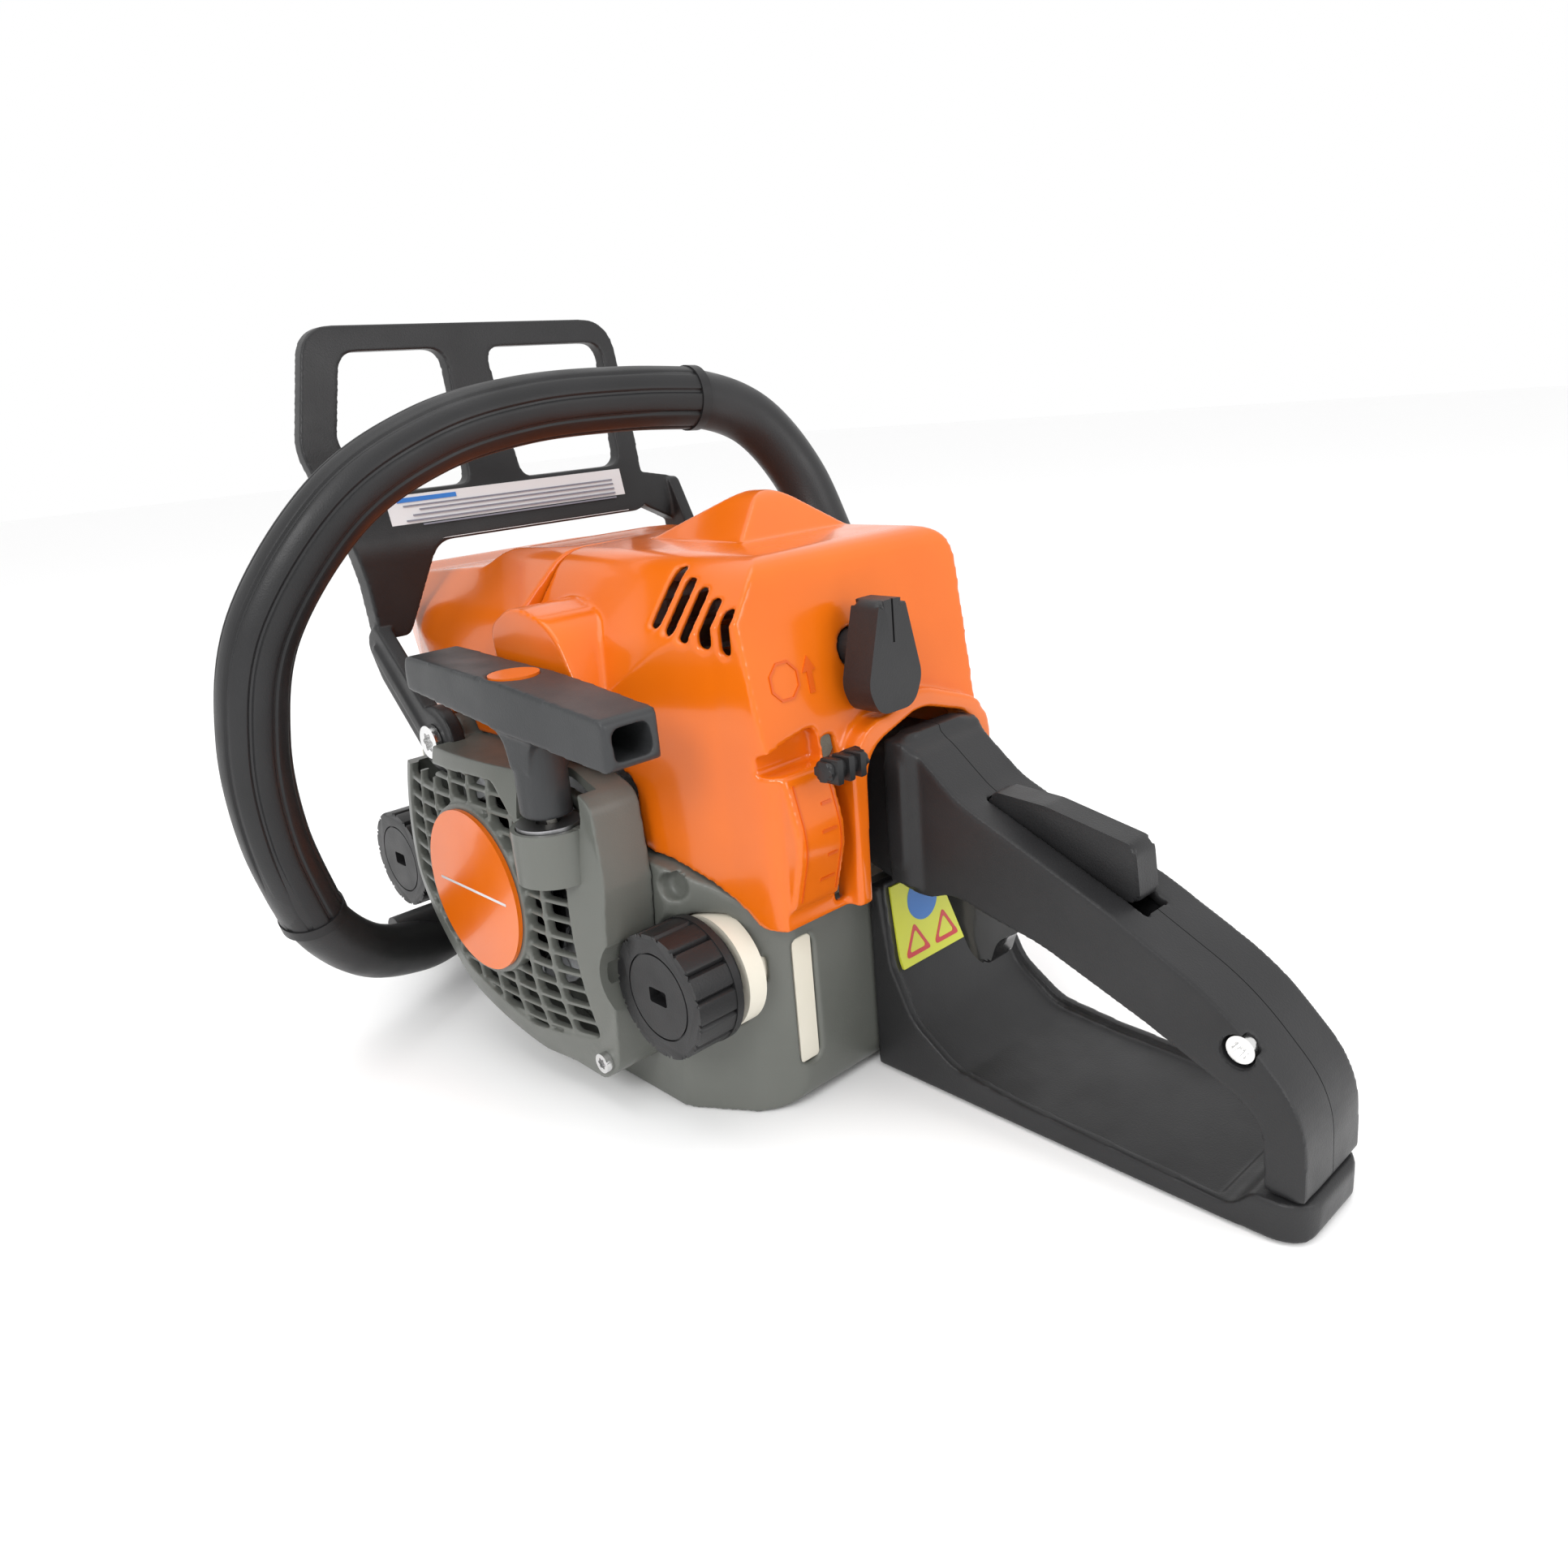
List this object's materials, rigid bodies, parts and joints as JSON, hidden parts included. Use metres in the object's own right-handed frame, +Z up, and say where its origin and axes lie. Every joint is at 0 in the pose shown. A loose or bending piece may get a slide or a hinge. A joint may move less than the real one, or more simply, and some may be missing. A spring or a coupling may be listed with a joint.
{
  "type": "chainsaw",
  "caption": "Petrol chainsaw power head with orange covers, wrap-around front handle, hand guard, rear D-handle, recoil starter and screw caps, without bar and chain.",
  "frame": {"origin": "bottom centre of the whole part's bounding box, standing on the ground plane", "axes": "+X forward, the way the guide bar points; +Y to the operator's left, the starter side; +Z up"},
  "size_m": [0.3798, 0.2402, 0.261],
  "materials": {
    "orange_plastic": "glossy moulded orange",
    "grey_plastic": "satin grey-green moulding",
    "black_plastic": "fine-textured near-black moulding",
    "soft_black": "matt black, slightly soft",
    "gloss_black": "glossy black",
    "rubber": "black rubber",
    "tank_plastic": "translucent-looking cream plastic",
    "aluminium": "cast aluminium",
    "steel": "machined steel",
    "dark_metal": "heat-darkened sheet steel",
    "brass": "brass",
    "chrome": "bright plated screws",
    "filter_felt": "cream filter felt",
    "rope_fibre": "braided nylon"
  },
  "bodies": {
    "root": {"filter_cover": "orange_plastic", "engine_shroud": "orange_plastic", "starter_badge": "orange_plastic", "engine_housing": "grey_plastic", "starter_cover": "grey_plastic", "front_handle": "black_plastic", "handle_foot_right": "black_plastic", "rear_handle_left": "black_plastic", "rear_handle_right": "black_plastic", "rear_handle_base": "black_plastic", "sprocket_cover": "black_plastic", "front_handle_sleeve": "soft_black", "ignition_module": "soft_black", "fuel_tank": "tank_plastic", "oil_tank": "tank_plastic", "crankcase": "aluminium", "cylinder": "aluminium", "piston": "aluminium", "carburettor": "aluminium", "chain_catcher": "aluminium", "connecting_rod": "steel", "spark_plug": "steel", "rewind_spring": "steel", "trigger_pin": "steel", "lockout_pin": "steel", "throttle_rod": "steel", "control_shaft": "steel", "spring_rear": "steel", "brake_band": "steel", "bar_stud_1": "steel", "bar_stud_2": "steel", "cover_nut_1": "steel", "cover_nut_2": "steel", "muffler": "dark_metal", "oil_pump": "brass", "guard_screw_left": "chrome", "guard_screw_right": "chrome", "handle_screw_rear": "chrome", "rope_bushing": "chrome", "air_filter": "filter_felt", "starter_rope": "rope_fibre"},
    "hand_guard": {"hand_guard": "black_plastic"},
    "throttle_trigger": {"throttle_trigger": "gloss_black"},
    "throttle_lockout": {"throttle_lockout": "black_plastic"},
    "control_lever": {"control_lever": "soft_black"},
    "filter_knob": {"filter_knob": "soft_black"},
    "fuel_cap_carrier": {"fuel_cap_gasket": "rubber"},
    "fuel_cap": {"fuel_cap": "soft_black"},
    "oil_cap_carrier": {"oil_cap_gasket": "rubber"},
    "oil_cap": {"oil_cap": "soft_black"},
    "starter_grip": {"starter_grip": "black_plastic"},
    "rope_rotor": {"rope_rotor": "gloss_black"},
    "crankshaft": {"crankshaft": "steel", "flywheel": "aluminium", "clutch_shoes": "steel"},
    "sprocket_drum": {"sprocket_drum": "steel"},
    "throttle_butterfly": {"throttle_butterfly": "brass"},
    "choke_butterfly": {"choke_butterfly": "brass"},
    "tensioner_nut": {"tensioner_nut": "steel"},
    "tensioner_screw": {"tensioner_screw": "steel"}
  },
  "joints": [
    {"name": "guard_forward", "type": "hinge", "parent": "root", "child": "hand_guard", "pos_m": [0.09307, -0.02508, 0.118], "axis": [0, 1, 0], "range_deg": [0, 13]},
    {"name": "trigger_squeeze", "type": "hinge", "parent": "root", "child": "throttle_trigger", "pos_m": [-0.06693, -0.05108, 0.082], "axis": [0, 1, 0], "range_deg": [0, 16], "stiffness_Nm_per_rad": 0.12, "springref_deg": -2.86},
    {"name": "lockout_press", "type": "hinge", "parent": "root", "child": "throttle_lockout", "pos_m": [-0.08393, -0.05108, 0.0955], "axis": [0, -1, 0], "range_deg": [0, 9], "stiffness_Nm_per_rad": 0.12, "springref_deg": -2.86},
    {"name": "control_select", "type": "hinge", "parent": "root", "child": "control_lever", "pos_m": [-0.01693, -0.01108, 0.098], "axis": [0, -1, 0], "range_deg": [-4, 40]},
    {"name": "choke_turn", "type": "hinge", "parent": "root", "child": "choke_butterfly", "pos_m": [0.00107, -0.03108, 0.12], "axis": [0, -1, 0], "range_deg": [-8, 77]},
    {"name": "throttle_turn", "type": "hinge", "parent": "root", "child": "throttle_butterfly", "pos_m": [0.01207, -0.03108, 0.12], "axis": [0, 1, 0], "range_deg": [0, 76]},
    {"name": "filter_knob_turn", "type": "hinge", "parent": "root", "child": "filter_knob", "pos_m": [-0.05593, -0.02908, 0.149], "axis": [-1, 0, 0], "range_deg": [0, 90]},
    {"name": "fuel_cap_lift", "type": "slide", "parent": "root", "child": "fuel_cap_carrier", "axis": [0, 1, 0], "range_m": [0, 0.012]},
    {"name": "fuel_cap_turn", "type": "hinge", "parent": "fuel_cap_carrier", "child": "fuel_cap", "pos_m": [-0.02093, 0.03492, 0.052], "axis": [0, 1, 0], "range_deg": [0, 1081]},
    {"name": "oil_cap_lift", "type": "slide", "parent": "root", "child": "oil_cap_carrier", "axis": [0, 1, 0], "range_m": [0, 0.012]},
    {"name": "oil_cap_turn", "type": "hinge", "parent": "oil_cap_carrier", "child": "oil_cap", "pos_m": [0.16707, 0.02792, 0.052], "axis": [0, 1, 0], "range_deg": [0, 1081]},
    {"name": "starter_pull", "type": "slide", "parent": "root", "child": "starter_grip", "axis": [-0.6, 0.2, 0.7746], "range_m": [0, 0.6], "stiffness_N_per_m": 12, "springref_m": -0.05, "deforming": ["starter_rope"]},
    {"name": "rotor_turn", "type": "hinge", "parent": "root", "child": "rope_rotor", "pos_m": [0.06107, 0.04392, 0.07], "axis": [0, 1, 0], "range_deg": [0, 1229]},
    {"name": "crank_turn", "type": "hinge", "parent": "root", "child": "crankshaft", "pos_m": [0.06107, -0.03108, 0.07], "axis": [0, 1, 0], "continuous": true},
    {"name": "drum_turn", "type": "hinge", "parent": "root", "child": "sprocket_drum", "pos_m": [0.06107, -0.10108, 0.07], "axis": [0, 1, 0], "continuous": true},
    {"name": "tension_slide", "type": "slide", "parent": "root", "child": "tensioner_nut", "axis": [1, 0, 0], "range_m": [-0.007, 0.01]},
    {"name": "tension_screw", "type": "hinge", "parent": "root", "child": "tensioner_screw", "pos_m": [0.13907, -0.09808, 0.044], "axis": [1, 0, 0], "range_deg": [-2521, 3601]}
  ],
  "couplings": [
    {"joint": "throttle_turn", "follows": "trigger_squeeze", "ratio": 4.7},
    {"joint": "choke_turn", "follows": "control_select", "ratio": 1.9},
    {"joint": "fuel_cap_turn", "follows": "fuel_cap_lift", "rad_per_m": 1570.8},
    {"joint": "oil_cap_turn", "follows": "oil_cap_lift", "rad_per_m": 1570.8},
    {"joint": "rotor_turn", "follows": "starter_pull", "rad_per_m": 35.714},
    {"joint": "tension_screw", "follows": "tension_slide", "rad_per_m": 6283.2}
  ]
}
